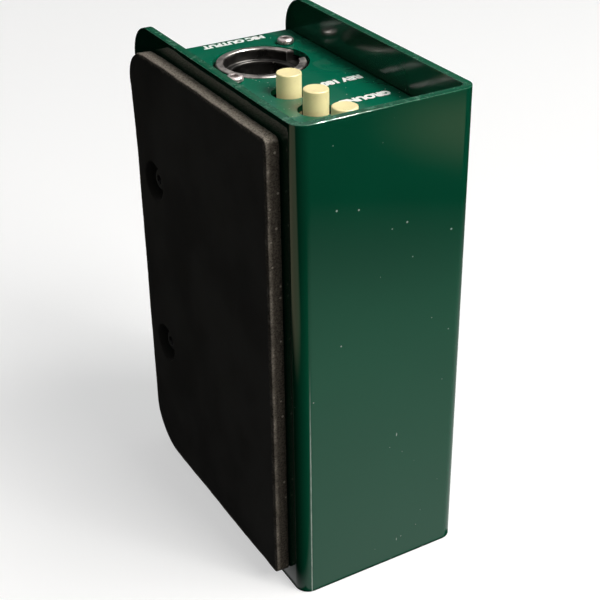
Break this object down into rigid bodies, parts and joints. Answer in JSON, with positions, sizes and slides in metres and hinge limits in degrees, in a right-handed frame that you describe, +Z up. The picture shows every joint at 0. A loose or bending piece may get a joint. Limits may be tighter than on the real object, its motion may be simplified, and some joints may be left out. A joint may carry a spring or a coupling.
{
  "type": "direct injection box",
  "caption": "Passive direct injection box: folded green steel case with a recessed output panel, round socket, push buttons and a no-slip base pad",
  "frame": {"origin": "centre of the footprint, on the plane that the box stands on", "axes": "+Z up along the box's length to the output panel, +Y towards the open side of the cover, -X towards the no-slip pad"},
  "size_m": [0.05, 0.084, 0.127],
  "materials": {
    "cover_enamel": "gloss dark green enamel",
    "panel_enamel": "gloss dark green enamel",
    "pad_rubber": "matt foam rubber, worn at the edges",
    "screw_black": "black oxide",
    "connector_metal": "satin dark die cast metal",
    "insert_black": "moulded",
    "pin_silver": "silver plated",
    "screw_silver": "bright zinc",
    "button_cream": "moulded",
    "switch_grey": "moulded",
    "jack_black": "moulded",
    "nut_nickel": "nickel plated",
    "board_green": "solder resist",
    "standoff_brass": "machined",
    "can_metal": "drawn shielding can",
    "film_red": "moulded",
    "resistor_blue": "lacquered"
  },
  "bodies": {
    "case": {"board_screw_1": "screw_silver", "board_screw_2": "screw_silver", "board_screw_3": "screw_silver", "board_screw_4": "screw_silver", "chassis": "panel_enamel", "film_capacitor_1": "film_red", "film_capacitor_2": "film_red", "ground_lift_switch": "switch_grey", "input_jack": "jack_black", "input_nut": "nut_nickel", "input_washer": "nut_nickel", "main_board": "board_green", "merge_switch": "switch_grey", "no_slip_pad": "pad_rubber", "outer_shell": "cover_enamel", "pad_switch": "switch_grey", "polarity_switch": "switch_grey", "resistor_1": "resistor_blue", "resistor_2": "resistor_blue", "resistor_3": "resistor_blue", "resistor_4": "resistor_blue", "shell_screw_1": "screw_black", "shell_screw_2": "screw_black", "speaker_switch": "switch_grey", "standoff_1": "standoff_brass", "standoff_2": "standoff_brass", "standoff_3": "standoff_brass", "standoff_4": "standoff_brass", "thru_jack": "jack_black", "thru_nut": "nut_nickel", "thru_washer": "nut_nickel", "transformer_can": "can_metal", "transformer_strap": "nut_nickel", "xlr_housing": "connector_metal", "xlr_insert": "insert_black", "xlr_pin_1": "pin_silver", "xlr_pin_2": "pin_silver", "xlr_pin_3": "pin_silver", "xlr_screw_1": "screw_silver", "xlr_screw_2": "screw_silver"},
    "polarity_key": {"polarity_button": "button_cream"},
    "ground_lift_key": {"ground_lift_button": "button_cream"},
    "speaker_key": {"speaker_button": "button_cream"},
    "pad_key": {"pad_button": "button_cream"},
    "merge_key": {"merge_button": "button_cream"}
  },
  "joints": [
    {"name": "polarity_press", "type": "slide", "parent": "case", "child": "polarity_key", "axis": [0, 0, -1], "range_m": [0, 0.0035], "stiffness_N_per_m": 600, "springref_m": -0.001},
    {"name": "ground_lift_press", "type": "slide", "parent": "case", "child": "ground_lift_key", "axis": [0, 0, -1], "range_m": [0, 0.0035], "stiffness_N_per_m": 600, "springref_m": -0.001},
    {"name": "speaker_press", "type": "slide", "parent": "case", "child": "speaker_key", "axis": [0, 0, -1], "range_m": [0, 0.0035], "stiffness_N_per_m": 600, "springref_m": -0.001},
    {"name": "pad_press", "type": "slide", "parent": "case", "child": "pad_key", "axis": [0, 0, 1], "range_m": [0, 0.0035], "stiffness_N_per_m": 600, "springref_m": -0.001},
    {"name": "merge_press", "type": "slide", "parent": "case", "child": "merge_key", "axis": [0, 0, 1], "range_m": [0, 0.0035], "stiffness_N_per_m": 600, "springref_m": -0.001}
  ]
}
